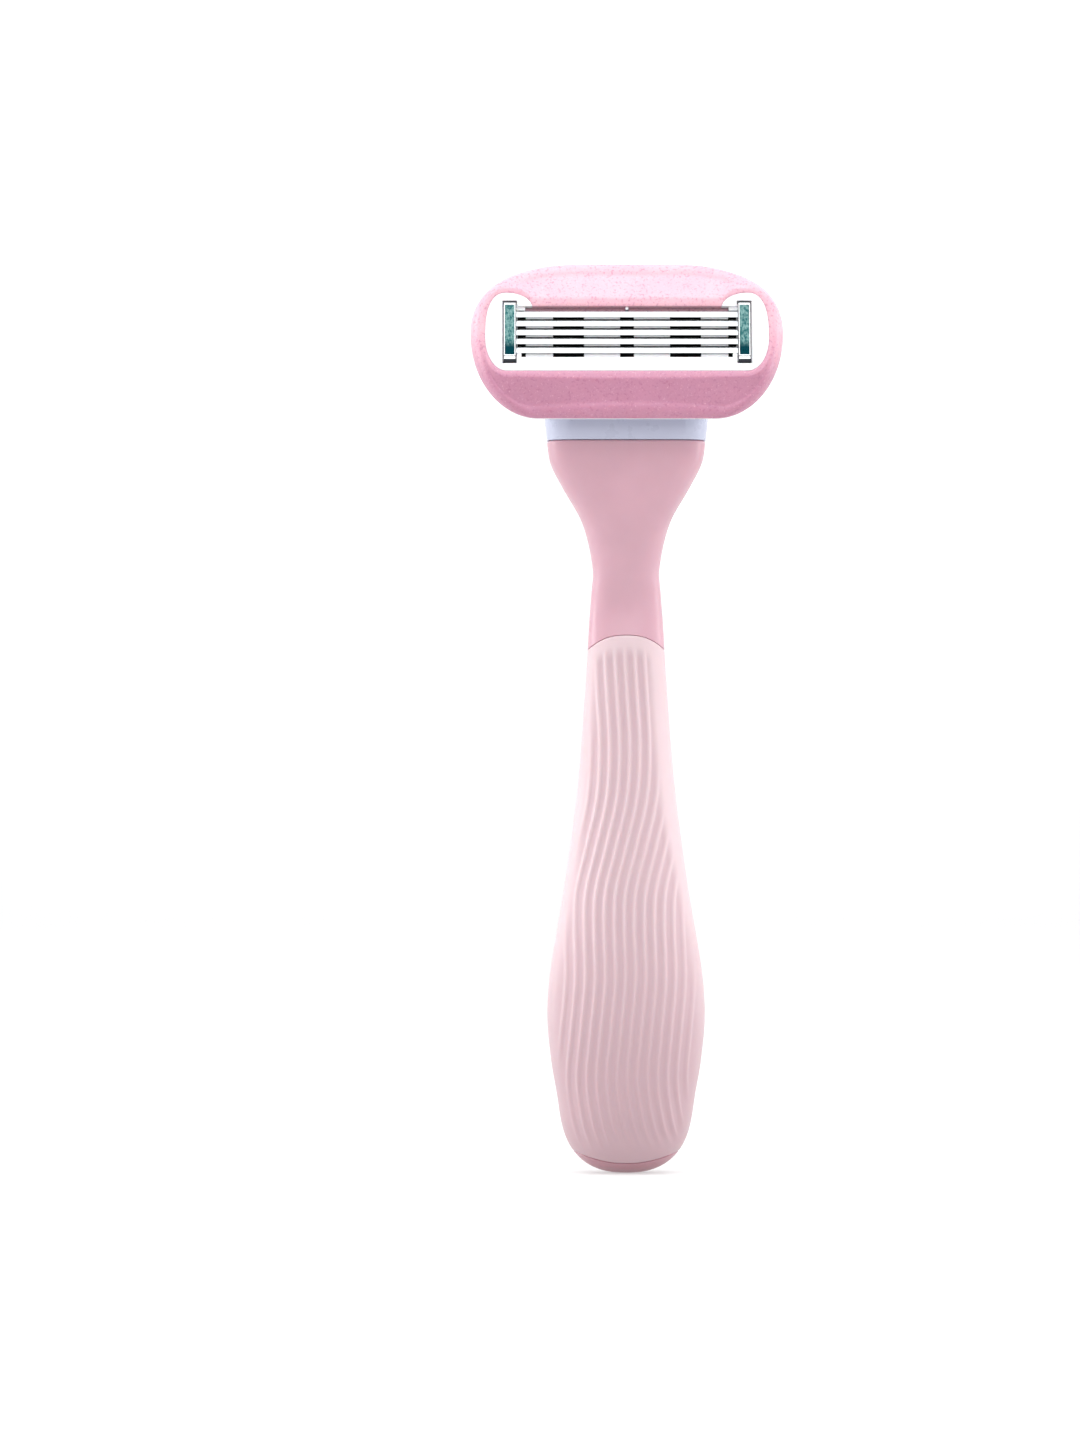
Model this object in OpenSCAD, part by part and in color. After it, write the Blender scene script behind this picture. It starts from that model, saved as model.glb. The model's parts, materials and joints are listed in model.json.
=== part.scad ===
// Cartridge razor. A handle of two hard shells with a soft front grip holds a dock frame, a
// spring plunger and an ejector. The connector pulls off the dock, and the cartridge pivots
// on the connector: its cam presses the plunger, which swings it back.
// Millimetres. X is the width, the blades face -Y and the handle stands along +Z.

/* [Handle] */
// Length of the handle, from its tip to the joint with the connector
handle_len = 116.8; // [115:0.1:122]
// Width across the belly of the grip
belly_w = 25.2; // [24:0.1:26.5]
// Width of the neck at its waist
waist_w = 10.7; // [10.4:0.1:11.4]
// Width of the handle's head, under the connector
head_w = 25.4; // [25:0.1:26.2]
// Wall of the hard shells above the grip
wall = 1.3; // [1.2:0.05:1.4]
// Thickness of the soft grip
grip_t = 1.2; // [0.9:0.1:1.3]

/* [Cartridge] */
// Width of the lubricating ring
ring_w = 49.6; // [48.8:0.1:52]
// Height of the lubricating ring, along the shaving face
ring_h = 25.7; // [25:0.1:27]
// Lean of the shaving face at rest, top edge back
rest_tilt = 15; // [10:1:20]
// Distance between cutting edges
blade_pitch = 1.49; // [1.44:0.01:1.52]
// Angle between each blade and the shaving face
blade_angle = 22; // [18:1:26]
// Thickness of a blade
blade_t = 0.1; // [0.08:0.01:0.14]
// Width of a retaining clip
clip_w = 2.03; // [1.8:0.01:2.1]

/* [Mechanism] */
// Radius of the pivot pins
pin_r = 1; // [0.8:0.05:1.2]
// Radial running clearance of the pivot pins and the plunger
run_gap = 0.05; // [0.03:0.01:0.08]
// Base radius of the cam, which is the plunger's travel for each radian of pivot
cam_r = 2.8; // [2.7:0.05:2.9]
// Radius of the plunger's stem
stem_r = 1.6; // [1.4:0.05:1.65]
// Thickness of the ejector plate
ejector_t = 0.8; // [0.6:0.05:0.85]
// Length of the release button
button_len = 10.8; // [10.6:0.1:12]

/* [Hidden] */

$fn = 48;
// Far enough past a face for a clean cut
eps = 0.01;
// Sideways shift that puts the origin under the middle of the bounding box
mid_y = 2.6;
top = handle_len;

// The plane where the two shells meet, and the tip's rounding
part_y = 1.5;
tip_len = 12;
tip_power = 2.45;
tip_flat = 0.06;

// Stations up the handle: half width, front and back of the body, and the power of the
// superellipse that rounds each half section
half_widths = [
    [0, 10.6], [10, 10.75], [18, 12], [25, belly_w / 2], [32, 12.15], [46, 9.85], [62, 7.75],
    [78, 6.5], [top - 28.8, 5.9], [top - 24.3, 5.56], [top - 20.3, waist_w / 2],
    [top - 13.1, 7], [top - 7.4, 10.15], [top - 3.5, 12.1], [top, head_w / 2]
];
front_ys = [
    [0, -7], [12, -7.4], [26, -7.9], [46, -6.7], [62, -5], [top - 32, -2.5],
    [top - 26, -2.05], [top - 20, -3.3], [top - 13, -5], [top - 6, -6], [top, -6.3]
];
back_ys = [
    [0, 5.4], [12, 6], [30, 6.7], [60, 6.3], [top - 25, 5.4], [top - 12, 4.4], [top, 3.9]
];
powers = [
    [0, 2.4], [top - 37, 2.5], [top - 20, 2.8], [top - 10, 3.8], [top - 4, 5], [top, 5]
];

// The grip's two edges, which are arcs: height at the middle and how far the sides differ
grip_low = 1.8;
grip_low_arc = 1.8;
grip_high = top - 31;
grip_high_arc = -2.3;
arc_fade = 12;
grip_backing = 1.4;
floor_z = 5;
core_share = 0.7;
core_bow = 0.3;
arc_points = 25;

// Heights of the rows of points up the handle
tip_zs = [0, 0.2, 0.6, 1.15];
toe_zs = [2.6, 3.6, floor_z - 0.15];
belly_zs = [for (i = [0 : 19]) floor_z + 0.15 + i * (grip_high - 2 - floor_z) / 19];
neck_zs = [for (i = [1 : 13]) grip_high + i * (top - grip_high) / 13];
nudge = 0.12;

// Dock frame, measured down and up from the top of the handle
tongue_x = 9.2;
tongue_front = -3.75;
tongue_back = 1.35;
tongue_rise = 2.5;
tongue_low = top - 3.2;
dock_low = top - 13.6;
peg_x = 8.8;
peg_r = 1.45;
peg_z = top - 2.4;
peg_t = 0.25;

// Plunger and its chamber
plunger_y = -4 + cam_r;
plunger_flange_r = 1.9;
plunger_stop_z = top - 0.8;
chamber_r = 2;
chamber_low = top - 7.8;

// Ejector and release button
ejector_y = 1.65;
shelf_z = top - 18.6;
shelf_t = 0.8;
button_spring_y = -0.3;
button_low = top - 19.3;
button_w = 7;
button_t = 1.1;
button_gap = 0.3;
button_stem = [4.4, 4];
button_stem_z = top - 15.8;

// Connector
skirt_drop = 1.9;
dock_gap = 0.1;
collar_h = 3.5;
collar_gap = 0.05;
collar_top_w = 26.2;
arm_in = 8.6;
arm_out = 12.6;
arm_r = 2.2;

// Pivot, and the face of the cartridge that it carries
pivot_y = -4;
pivot_z = top + 8.2;
pivot_below = 6.4;
pivot_behind = 7.5;
face_y = pivot_y + pivot_below * sin(rest_tilt) - pivot_behind * cos(rest_tilt);
face_z = pivot_z + pivot_below * cos(rest_tilt) + pivot_behind * sin(rest_tilt);

// Cartridge, in its own frame: X is the width, Y runs up the face, Z comes out of it
body_back = -5;
body_front = 0.2;
ring_back = -3.5;
ring_crest = 0.55;
ring_edge_n = -3;
ring_slope = 20;
ring_round = 1.7;
carrier_inset = 0.45;
side_h = 1.2;
slot_x = 17.3;
slot_low = -3.72;
slot_high = 4.2;
window_top = 4.83;
window_x = 16.1;
blade_x = 19;
blade_w = 1.15;
blade_n = 0.05;
first_edge = 2.98;
support_t = 0.2;
support_n = -3.4;
rib_front = -0.75;
rib_notch = [0.27, 1];
nose_front = -0.3;
nose_over = 0.15;
moat = 0.14;
moat_n = -0.25;
floor_n = -4.3;
clip_x = 18.55;
clip_t = 0.3;
clip_low = -4.58;
clip_high = 5.56;
lug_in = 6.8;
lug_out = 8.4;
lug_r = 2.1;
lug_foot = [0.5, 2.6];
cam_half = 1.5;
cam_start = 0.9;
cam_sweep = 0.8;
DEG = 180 / PI;

// Smooth curve through a list of stations
function span(t, z, i = 0) = i < len(t) - 2 && z > t[i + 1][0] ? span(t, z, i + 1) : i;
function slope(t, i) =
    let (a = max(i - 1, 0), b = min(i + 1, len(t) - 1))
    (t[b][1] - t[a][1]) / (t[b][0] - t[a][0]);
function curve(t, z) =
    let (i = span(t, z), h = t[i + 1][0] - t[i][0], u = (z - t[i][0]) / h, v = 1 - u)
    t[i][1] * v * v * (1 + 2 * u) + slope(t, i) * h * u * v * v
    + t[i + 1][1] * u * u * (1 + 2 * v) - slope(t, i + 1) * h * u * u * v;

function signed_power(v, e) = sign(v) * pow(abs(v), e);
function tip(z) =
    let (u = min(1, (z + tip_flat) / (tip_len + tip_flat)))
    pow(1 - pow(1 - u, tip_power), 1 / tip_power);
function half_width(z) = curve(half_widths, z) * tip(z);
function depth(side, z) =
    tip(z) * (side < 0 ? part_y - curve(front_ys, z) : curve(back_ys, z) - part_y);

// A point on a half section: side is -1 for the front and 1 for the back
function section_point(side, a, z, inset) =
    let (e = 2 / curve(powers, z))
    [
        (half_width(z) - inset) * signed_power(sin(a), e),
        part_y + side * (depth(side, z) - inset) * signed_power(cos(a), e)
    ];
function arc_angle(i) = -90 + 180 * i / (arc_points - 1);

// How much higher a row runs at the sides than at the middle, after the grip's edges
function warp(z) =
    z < grip_low ? grip_low_arc * z / grip_low
    : grip_low_arc * max(0, 1 - (z - grip_low) / arc_fade)
        + grip_high_arc * max(0, 1 - abs(z - grip_high) / arc_fade);
function row_point(side, a, z, inset) =
    let (zz = z + warp(z) * pow(sin(a), 2), p = section_point(side, a, zz, inset))
    [p[0], p[1], zz];

// A row is [height, outer inset, inner height, inner inset, open]. Below the floor the
// shells are solid and meet on a shallow bow, which keeps them in line
function outer_row(side, r) =
    [for (i = [0 : arc_points - 1]) row_point(side, arc_angle(i), r[0], r[1])];
function inner_row(side, r) = [
    for (i = [0 : arc_points - 1])
        let (a = -arc_angle(i), p = section_point(side, a, r[2], r[3]))
        r[4] ? [p[0], p[1], r[2]]
        : [core_share * half_width(r[2]) * sin(a), part_y - core_bow * cos(a), r[2]]
];
function loft_points(side, rows) =
    [for (r = rows) each concat(outer_row(side, r), inner_row(side, r))];

// Faces between rings of m points, then the two ends, whose halves face each other
function quad(a, b, c, d, flip) = flip ? [[a, b, c], [a, c, d]] : [[c, b, a], [d, c, a]];
function wall_faces(rows, m, flip) = [
    for (r = [0 : rows - 2], i = [0 : m - 1])
        let (j = (i + 1) % m)
        each quad(r * m + i, r * m + j, (r + 1) * m + j, (r + 1) * m + i, flip)
];
function end_faces(base, m, flip) = [
    for (i = [0 : m / 2 - 2])
        each quad(base + i, base + i + 1, base + m - 2 - i, base + m - 1 - i, flip)
];
module loft(side, rows) {
    m = 2 * arc_points;
    flip = side > 0;
    polyhedron(
        loft_points(side, rows),
        concat(
            wall_faces(len(rows), m, flip),
            end_faces(0, m, !flip),
            end_faces((len(rows) - 1) * m, m, flip)
        ),
        convexity = 6
    );
}

// Flat outline of the handle's section, for the parts that continue it
function section_outline(z, inset) = concat(
    [for (i = [0 : arc_points - 1]) section_point(-1, arc_angle(i), z, inset)],
    [for (i = [1 : arc_points - 2]) section_point(1, -arc_angle(i), z, inset)]
);

module framed() {
    translate([0, mid_y, 0]) children();
}

// Extrudes a profile drawn in Y and Z along X
module along_x(x0, x1) {
    translate([x0, 0, 0]) rotate([90, 0, 90]) linear_extrude(x1 - x0) children();
}

module box(x0, x1, y0, y1, z0, z1) {
    translate([x0, y0, z0]) cube([x1 - x0, y1 - y0, z1 - z0]);
}

module both_sides() {
    children();
    mirror([1, 0, 0]) children();
}

function inner_inset(z) = z < grip_high + 1 ? grip_t + grip_backing : wall;
function plain_rows(zs, open) = [for (z = zs) [z, 0, z, inner_inset(z), open]];
function recessed_rows(zs, open) = [for (z = zs) [z, grip_t, z, inner_inset(z), open]];

module handle_front_shell() {
    backing = grip_t + grip_backing;
    color("#dcb1bf") framed() loft(-1, concat(
        plain_rows(tip_zs, false),
        [[grip_low, 0, grip_low - nudge, backing, false]],
        [[grip_low, grip_t, grip_low + nudge, backing, false]],
        recessed_rows([for (i = [0 : 1]) toe_zs[i]], false),
        [[floor_z - nudge, grip_t, floor_z, backing, false]],
        [[floor_z + nudge, grip_t, floor_z, backing, true]],
        recessed_rows([for (i = [1 : 19]) belly_zs[i]], true),
        [[grip_high, grip_t, grip_high - nudge, backing, true]],
        [[grip_high, 0, grip_high + nudge, backing, true]],
        plain_rows(neck_zs, true)
    ));
}

module handle_rear_shell() {
    backing = grip_t + grip_backing;
    color("#d3a3b2") framed() difference() {
        loft(1, concat(
            plain_rows(tip_zs, false),
            [[grip_low, 0, grip_low, backing, false]],
            plain_rows([for (i = [0 : 1]) toe_zs[i]], false),
            [[floor_z - nudge, 0, floor_z, backing, false]],
            [[floor_z + nudge, 0, floor_z, backing, true]],
            plain_rows([for (i = [1 : 19]) belly_zs[i]], true),
            [[grip_high, 0, grip_high, backing, true]],
            plain_rows(neck_zs, true)
        ));
        box(
            -button_stem[0] / 2 - 0.2, button_stem[0] / 2 + 0.2, part_y + 1, 8,
            button_stem_z - 0.2, button_stem_z + button_stem[1] + 2.7
        );
    }
}

module grip_sleeve() {
    zs = concat(
        [grip_low], [toe_zs[0], toe_zs[1], floor_z - nudge, floor_z + nudge],
        [for (i = [1 : 19]) belly_zs[i]], [grip_high]
    );
    color("#d9bcc4") framed() grip_loft(zs);
}

// Outer and inner rows at the same heights, so the sleeve fills the front shell's recess
module grip_loft(zs) {
    m = 2 * arc_points;
    points = [
        for (z = zs) each concat(
            [for (i = [0 : arc_points - 1]) row_point(-1, arc_angle(i), z, 0)],
            [for (i = [0 : arc_points - 1]) row_point(-1, -arc_angle(i), z, grip_t)]
        )
    ];
    polyhedron(
        points,
        concat(
            wall_faces(len(zs), m, false),
            end_faces(0, m, true),
            end_faces((len(zs) - 1) * m, m, false)
        ),
        convexity = 6
    );
}

module dock_frame() {
    color("#d7d6e2") framed() difference() {
        union() {
            box(-tongue_x, tongue_x, tongue_front, tongue_back, tongue_low, top + tongue_rise);
            box(-6.2, 6.2, -3.4, tongue_back, top - 8.8, tongue_low + eps);
            box(-3, 3, tongue_front, tongue_back, top - 10.8, tongue_low + eps);
            box(-3, 3, -2.9, tongue_back, dock_low, top - 10.8 + eps);
            both_sides() intersection() {
                translate([peg_x, tongue_front + eps, peg_z])
                    rotate([90, 0, 0]) cylinder(h = peg_t + eps, r = peg_r);
                box(0, tongue_x, tongue_front - 1, tongue_front + 1, tongue_low - 2, top);
            }
        }
        translate([0, plunger_y, chamber_low])
            cylinder(h = plunger_stop_z - chamber_low, r = chamber_r);
        translate([0, plunger_y, plunger_stop_z - eps])
            cylinder(h = 8, r = stem_r + run_gap);
    }
}

module plunger() {
    tip_z = pivot_z - cam_r * cam_start - 0.03;
    flange_z = plunger_stop_z - run_gap;
    color("#f1eff4") framed() translate([0, plunger_y, 0]) {
        translate([0, 0, flange_z - 0.9]) cylinder(h = 0.9, r = plunger_flange_r);
        translate([0, 0, flange_z - 0.9]) cylinder(h = tip_z - 0.5 - flange_z + 0.9, r = stem_r);
        translate([0, 0, tip_z - 0.5]) cylinder(h = 0.5, r1 = stem_r, r2 = stem_r - 0.5);
    }
}

// Coil spring: a wire of round section swept up a helix
wire_sides = 8;
coil_steps = 14;
function coil_ring(r, wire_r, a, z) = [
    for (k = [0 : wire_sides - 1])
        let (b = 360 * k / wire_sides, q = r + wire_r * cos(b))
        [q * cos(a), q * sin(a), z + wire_r * sin(b)]
];
module coil_spring(r, wire_r, height, turns) {
    rings = turns * coil_steps + 1;
    rise = (height - 2 * wire_r) / (rings - 1);
    last = (rings - 1) * wire_sides;
    points = [
        for (i = [0 : rings - 1])
            each coil_ring(r, wire_r, 360 * i / coil_steps, wire_r + rise * i)
    ];
    polyhedron(
        points,
        concat(
            wall_faces(rings, wire_sides, true),
            [[for (k = [0 : wire_sides - 1]) k]],
            [[for (k = [0 : wire_sides - 1]) last + wire_sides - 1 - k]]
        ),
        convexity = 8
    );
}

module plunger_spring() {
    height = plunger_stop_z - run_gap - 0.9 - chamber_low;
    color("#c9c9cc") framed()
        translate([0, plunger_y, chamber_low]) coil_spring(1.6, 0.17, height, 8);
}

module button_spring() {
    low = shelf_z + shelf_t;
    color("#c9c9cc") framed()
        translate([0, button_spring_y, low]) coil_spring(1.5, 0.17, dock_low - low, 5);
}

module ejector_fork() {
    back = ejector_y + ejector_t;
    color("#e6e4ee") framed() {
        box(-2.4, 2.4, ejector_y, back, shelf_z, top - 6.6);
        box(-2, 2, -2, back, shelf_z, shelf_z + shelf_t);
        box(-8, 8, ejector_y, back, top - 6.8, top - 4.6);
        both_sides() box(5, 8, ejector_y, back, top - 4.7, top - skirt_drop - collar_gap);
    }
}

// The cap follows the slope of the handle's back, with four finger ridges
module release_button() {
    low = button_low;
    high = button_low + button_len;
    low_y = curve(back_ys, low) + button_gap;
    high_y = curve(back_ys, high) + button_gap;
    lean = atan((low_y - high_y) / button_len);
    color("#e6a9bd") framed() {
        intersection() {
            along_x(-button_w / 2, button_w / 2) polygon([
                [low_y, low], [low_y + button_t * 0.6, low + 0.1],
                [low_y + button_t, low + 1.1], [high_y + button_t, high - 1.1],
                [high_y + button_t * 0.6, high - 0.1], [high_y, high]
            ]);
            translate([0, 9, 0]) rotate([90, 0, 0]) linear_extrude(9) hull() {
                translate([0, low + button_w / 2]) circle(r = button_w / 2);
                translate([0, high - button_w / 2]) circle(r = button_w / 2);
            }
        }
        for (i = [0 : 3])
            let (u = 2.9 + i * 1.6)
            translate([-2, low_y + button_t - u * tan(lean), low + u])
                rotate([0, 90, 0]) cylinder(h = 4, r = 0.28, $fn = 24);
        box(
            -button_stem[0] / 2, button_stem[0] / 2, ejector_y + ejector_t, low_y + 0.3,
            button_stem_z, button_stem_z + button_stem[1]
        );
    }
}

module connector_yoke() {
    pocket = [tongue_x + dock_gap, tongue_front - dock_gap, tongue_back + dock_gap];
    color("#d5d4e4") framed() {
        difference() {
            union() {
                translate([0, 0, top + collar_gap])
                    linear_extrude(
                        collar_h - collar_gap, scale = [collar_top_w / head_w, 1], slices = 1
                    ) polygon(section_outline(top, 0));
                translate([0, 0, top - skirt_drop])
                    linear_extrude(skirt_drop + 0.2)
                        polygon(section_outline(top - skirt_drop, wall + 0.2));
            }
            box(
                -pocket[0], pocket[0], pocket[1], pocket[2],
                top - skirt_drop - 1, top + tongue_rise + dock_gap
            );
            both_sides()
                translate([peg_x, tongue_front + 0.05, peg_z])
                    rotate([90, 0, 0]) cylinder(h = 3, r = peg_r + 0.15);
            translate([0, plunger_y, top]) cylinder(h = 6, r = stem_r + 0.15);
        }
        both_sides() {
            along_x(arm_in, arm_out) hull() {
                translate([pivot_y, pivot_z]) circle(r = arm_r);
                translate([-6, top + collar_h - 0.2]) square([5, 0.2]);
            }
            translate([lug_in - 0.1, pivot_y, pivot_z])
                rotate([0, 90, 0]) cylinder(h = arm_in - lug_in + 0.2, r = pin_r);
        }
    }
}

// Puts children that are drawn in the cartridge's own frame on the pivot at rest
module on_face() {
    framed() translate([0, face_y, face_z]) rotate([90 - rest_tilt, 0, 0]) children();
}

function superellipse(cx, cy, a, b, e, from, to, steps) = [
    for (i = [0 : steps])
        let (t = from + (to - from) * i / steps)
        [cx + a * signed_power(cos(t), 2 / e), cy + b * signed_power(sin(t), 2 / e)]
];
function line(p, q, steps) = [for (i = [0 : steps - 1]) p + (q - p) * i / steps];

// Right half of the ring's opening, from the bottom middle round the ear to the top middle
function opening_half() = concat(
    line([0, -5.94], [19.05, -5.94], 6),
    superellipse(19.05, -0.48, 3.36, 5.46, 2, -90, 0, 8),
    superellipse(19.05, 0.1, 3.36, 6.9, 2.45, 3, 90, 10),
    [for (i = [1 : 5]) let (t = 90 + i * 16.5) [19.05 + 4.1 * cos(t), 4.5 + 2.5 * sin(t)]],
    line([14.97, window_top], [0, window_top], 7),
    [[0, window_top]]
);
// Right half of the ring's outer edge, with as many points in each stretch
function outline_half() = concat(
    line([0, -ring_h / 2], [14, -ring_h / 2], 6),
    superellipse(14, side_h, ring_w / 2 - 14, ring_h / 2 + side_h, 2, -90, 0, 8),
    superellipse(7, side_h, ring_w / 2 - 7, ring_h / 2 - side_h, 2.25, 2, 62, 15),
    superellipse(7, side_h, ring_w / 2 - 7, ring_h / 2 - side_h, 2.25, 69, 90, 3),
    [for (x = [5.25, 3.5, 1.75, 0]) [x, ring_h / 2]]
);
function mirrored(half) = concat(
    half, [for (i = [len(half) - 2 : -1 : 1]) [-half[i][0], half[i][1]]]
);
opening = mirrored(opening_half());
outline = mirrored(outline_half());

// Section of the ring at bar width w, as [distance from the opening, height]
function ring_section(w) =
    let (
        flat = w - ring_round,
        shoulder = ring_crest - (flat - 0.9) * tan(ring_slope)
    )
    concat(
        [[0, ring_back], [0, 0.1], [0.3, 0.42], [0.9, ring_crest]],
        [for (i = [1 : 3]) let (u = 0.9 + (flat - 0.9) * i / 3)
            [u, ring_crest - (u - 0.9) * tan(ring_slope)]],
        [for (i = [1 : 4]) let (t = 22.5 * i)
            [flat + ring_round * sin(t), ring_edge_n + (shoulder - ring_edge_n) * cos(t)]],
        [[w - 0.3, ring_back]]
    );

module lube_ring() {
    m = len(opening);
    sections = [
        for (i = [0 : m - 1])
            let (
                p = opening[i],
                w = norm(outline[i] - p),
                out = (outline[i] - p) / w
            )
            [for (s = ring_section(w)) [p[0] + out[0] * s[0], p[1] + out[1] * s[0], s[1]]]
    ];
    k = len(sections[0]);
    faces = [
        for (i = [0 : m - 1], j = [0 : k - 1])
            let (i2 = (i + 1) % m, j2 = (j + 1) % k)
            each quad(i * k + j, i * k + j2, i2 * k + j2, i2 * k + j, true)
    ];
    color("#f3c3d6") on_face()
        polyhedron([for (s = sections) each s], faces, convexity = 6);
}

module ring_carrier() {
    color("#f4f2f6") on_face() translate([0, 0, body_back])
        linear_extrude(ring_back - body_back) difference() {
            offset(delta = -carrier_inset) polygon(outline);
            polygon(opening);
        }
}

// Comb of the ribs that carry the blade supports, as a profile of face height and depth.
// The ribs stand on the floor of the blade slot, with a nose under each blade's edge
function edge_h(k) = first_edge - k * blade_pitch;
function support_h(k) = edge_h(k) + blade_w * cos(blade_angle);
module rib_profile() {
    difference() {
        union() {
            translate([slot_low - 0.1, floor_n - 0.1])
                square([slot_high - slot_low + 0.2, rib_front - floor_n + 0.1]);
            for (k = [0 : 4])
                let (low = max(slot_low - 0.1, support_h(k + 1) - 0.1))
                    translate([low, rib_front - 0.1])
                        square([edge_h(k) + nose_over - low, nose_front - rib_front + 0.1]);
        }
        for (k = [0 : 4]) {
            translate([support_h(k) - support_t - 0.02, support_n])
                square([support_t + 0.04, -support_n]);
            translate([support_h(k), rib_front - rib_notch[1]])
                square([rib_notch[0], rib_notch[1] + 1]);
        }
    }
}

function involute(s) =
    let (t = s + cam_start)
    [
        cam_r * (cos(s * DEG) + t * sin(s * DEG)),
        cam_r * (sin(s * DEG) - t * cos(s * DEG))
    ];
// A point given along the face and out of it from the pivot, as Y and Z
function from_pivot(h, n) =
    [h * sin(rest_tilt) - n * cos(rest_tilt), h * cos(rest_tilt) + n * sin(rest_tilt)];
back_n = pivot_behind + body_back;

// The cam's flank is an involute, so equal angles move the plunger by equal steps
module cam_profile() {
    translate([pivot_y, pivot_z]) polygon(concat(
        [from_pivot(lug_foot[0], back_n + eps), [1.2, -2.2]],
        [for (i = [-1 : 8]) involute(i * cam_sweep / 8)],
        [[5.5, -0.5], [3, 2.1]],
        [from_pivot(lug_foot[1], back_n + eps)]
    ));
}

module lug_profile() {
    translate([pivot_y, pivot_z]) hull() {
        circle(r = lug_r, $fn = 64);
        polygon([
            from_pivot(lug_foot[0], back_n + eps), from_pivot(lug_foot[1], back_n + eps),
            from_pivot(lug_foot[1], back_n)
        ]);
    }
}

module blade_housing() {
    color("#fbfafc") {
        on_face() {
            difference() {
                translate([0, 0, body_back])
                    linear_extrude(body_front - body_back) polygon(opening);
                box(-slot_x, slot_x, slot_low + 0.7, slot_high, floor_n, 1);
                box(-16.7, 16.7, slot_low, slot_high, floor_n, 1);
                box(-window_x, window_x, slot_high - 0.1, window_top + eps, -1.4, 1);
                box(-blade_x - 0.05, blade_x + 0.05, slot_low + 0.62, slot_high, -0.7, 1);
                both_sides() {
                    clip_slot(clip_high - clip_t - 0.05, clip_high + moat);
                    clip_slot(clip_low - moat, clip_low + clip_t + 0.05);
                    clip_moat();
                    box(window_x - eps, 17.5, slot_high - 0.08, window_top, -0.25, 1);
                }
            }
            both_sides() {
                along_x(1.1, 6.8) rib_profile();
                along_x(11.7, 16) rib_profile();
            }
            translate([0, window_top - 0.25, -1.5]) cylinder(h = 1.3, r = 0.25, $fn = 24);
        }
        framed() {
            along_x(-cam_half, cam_half) cam_profile();
            both_sides() difference() {
                along_x(lug_in, lug_out) lug_profile();
                translate([lug_in - 1, pivot_y, pivot_z])
                    rotate([0, 90, 0]) cylinder(h = 4, r = pin_r + run_gap);
            }
        }
    }
}

module clip_slot(low, high) {
    half = clip_w / 2 + 0.05;
    box(clip_x - half, clip_x + half, low, high, body_back - 1, 1);
}

// Fine groove round the clip
module clip_moat() {
    half = clip_w / 2 + 0.02;
    difference() {
        box(clip_x - half - moat, clip_x + half + moat, clip_low - moat, clip_high + moat,
            moat_n, 1);
        box(clip_x - half, clip_x + half, clip_low, clip_high, moat_n - 1, 2);
    }
}

// A clip is a strip bent over the blade ends, with its legs turned in behind the housing
module clip_profile(grow) {
    front = body_front + clip_t - grow;
    back = body_back - clip_t + grow;
    difference() {
        translate([clip_low + grow, back])
            square([clip_high - clip_low - 2 * grow, front - back]);
        if (grow == 0) {
            corner_cut(clip_low, front, 1, -1, 0.55);
            corner_cut(clip_high, front, -1, -1, 0.4);
        }
    }
}
module corner_cut(x, y, sx, sy, r) {
    translate([x, y]) scale([sx, sy]) difference() {
        translate([-1, -1]) square(1 + r);
        translate([r, r]) circle(r = r);
    }
}
module clip() {
    along_x(clip_x - clip_w / 2, clip_x + clip_w / 2) difference() {
        clip_profile(0);
        clip_profile(clip_t);
        translate([clip_low + 1.2, body_back - 1])
            square([clip_high - clip_low - 2.4, 2]);
    }
}
module clip_right() {
    color("#7fb0ae") on_face() clip();
}
module clip_left() {
    color("#7fb0ae") on_face() mirror([1, 0, 0]) clip();
}

// A blade's section lies along its own slope: from the edge back, and out of the face
function on_blade(u, v) = [
    u * cos(blade_angle) + v * sin(blade_angle),
    v * cos(blade_angle) - u * sin(blade_angle)
];
module blade(k) {
    half_t = blade_t / 2;
    color("#dfe3e6") on_face()
        translate([0, first_edge - k * blade_pitch, blade_n])
            along_x(-blade_x, blade_x) polygon([
                on_blade(0, 0), on_blade(0.3, half_t), on_blade(blade_w, half_t),
                on_blade(blade_w, -half_t), on_blade(0.3, -half_t)
            ]);
}

module blade_support(k) {
    v = -blade_t / 2;
    rear = on_blade(blade_w, v);
    low_v = v - support_t;
    inner_u = (rear[0] - support_t - low_v * sin(blade_angle)) / cos(blade_angle);
    color("#b9bec3") on_face()
        translate([0, first_edge - k * blade_pitch, blade_n])
            along_x(-slot_x + 0.1, slot_x - 0.1) polygon([
                on_blade(0.42, v), rear, [rear[0], support_n - blade_n],
                [rear[0] - support_t, support_n - blade_n], on_blade(inner_u, low_v),
                on_blade(0.42, low_v)
            ]);
}
module blade_1() { blade(0); }
module blade_2() { blade(1); }
module blade_3() { blade(2); }
module blade_4() { blade(3); }
module blade_5() { blade(4); }
module blade_support_1() { blade_support(0); }
module blade_support_2() { blade_support(1); }
module blade_support_3() { blade_support(2); }
module blade_support_4() { blade_support(3); }
module blade_support_5() { blade_support(4); }

handle_front_shell();
handle_rear_shell();
grip_sleeve();
dock_frame();
plunger();
plunger_spring();
button_spring();
ejector_fork();
release_button();
connector_yoke();
blade_housing();
lube_ring();
ring_carrier();
clip_left();
clip_right();
blade_1();
blade_2();
blade_3();
blade_4();
blade_5();
blade_support_1();
blade_support_2();
blade_support_3();
blade_support_4();
blade_support_5();
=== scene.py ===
import json
import math

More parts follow.
